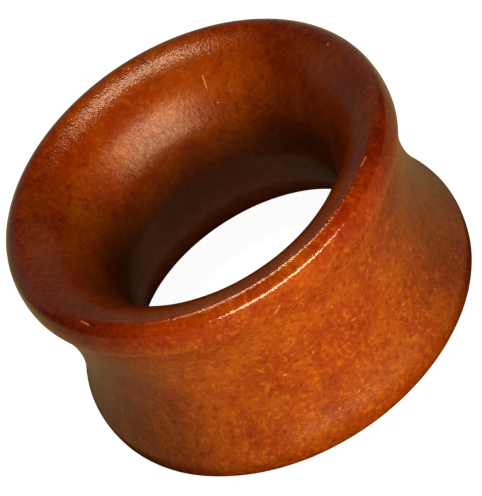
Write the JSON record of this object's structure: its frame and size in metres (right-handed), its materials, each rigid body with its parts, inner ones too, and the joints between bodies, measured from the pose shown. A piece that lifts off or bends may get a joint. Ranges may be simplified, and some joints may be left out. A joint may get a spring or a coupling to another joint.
{
  "type": "ear tunnel",
  "caption": "Round one-piece wooden ear tunnel with a waisted outside, flared rounded lips at both ends and an open hourglass-shaped hole.",
  "frame": {"origin": "centre of the end face that the tunnel stands on", "axes": "+Z along the hole, from the face that it stands on to the other end face; the ring is round about +Z, so X and Y are any two square directions"},
  "size_m": [0.0274, 0.0274, 0.0156],
  "materials": {
    "stained_wood": "satin"
  },
  "bodies": {
    "root": {"tunnel": "stained_wood"}
  },
  "joints": []
}
